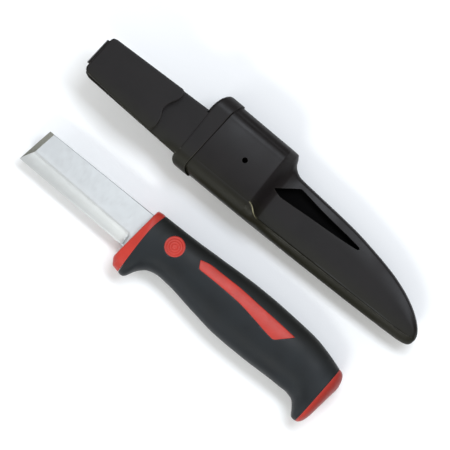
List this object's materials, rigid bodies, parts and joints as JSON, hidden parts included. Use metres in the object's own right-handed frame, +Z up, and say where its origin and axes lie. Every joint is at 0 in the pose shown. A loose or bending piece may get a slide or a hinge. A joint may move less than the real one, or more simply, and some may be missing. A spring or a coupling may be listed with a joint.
{
  "type": "grafting knife",
  "caption": "Fixed-blade grafting knife with a square chisel end and a two-tone moulded grip, laid beside its plastic sheath with a sprung belt clip.",
  "frame": {"origin": "bottom centre of the box round the laid-out knife and sheath, on the surface they lie on", "axes": "+X from the blade's end to the butt and from the sheath's belt clip to its tip, +Y from the knife to the sheath, +Z up off the surface"},
  "size_m": [0.22, 0.1092, 0.0359],
  "materials": {
    "blade_steel": "satin",
    "red_plastic": "satin",
    "grip_rubber": "satin",
    "sheath_plastic": "satin"
  },
  "bodies": {
    "sheath": {"sheath_body": "sheath_plastic", "belt_strap": "sheath_plastic"},
    "clip_tongue": {"belt_clip_tongue": "sheath_plastic"},
    "knife": {"blade": "blade_steel", "handle_core": "red_plastic", "front_collar": "red_plastic", "grip_sleeve": "grip_rubber", "emblem_disc_front": "red_plastic", "emblem_disc_back": "red_plastic", "side_inlay_front": "red_plastic", "side_inlay_back": "red_plastic", "end_cap": "red_plastic"}
  },
  "joints": [
    {"name": "knife_lift", "type": "slide", "parent": "sheath", "child": "knife", "axis": [0, 0, 1], "range_m": [0, 0.12]},
    {"name": "clip_flex", "type": "hinge", "parent": "sheath", "child": "clip_tongue", "pos_m": [-0.1082, 0.0291, 0.0348], "axis": [-0.064, -0.998, 0], "range_deg": [0, 12], "stiffness_Nm_per_rad": 0.8}
  ]
}
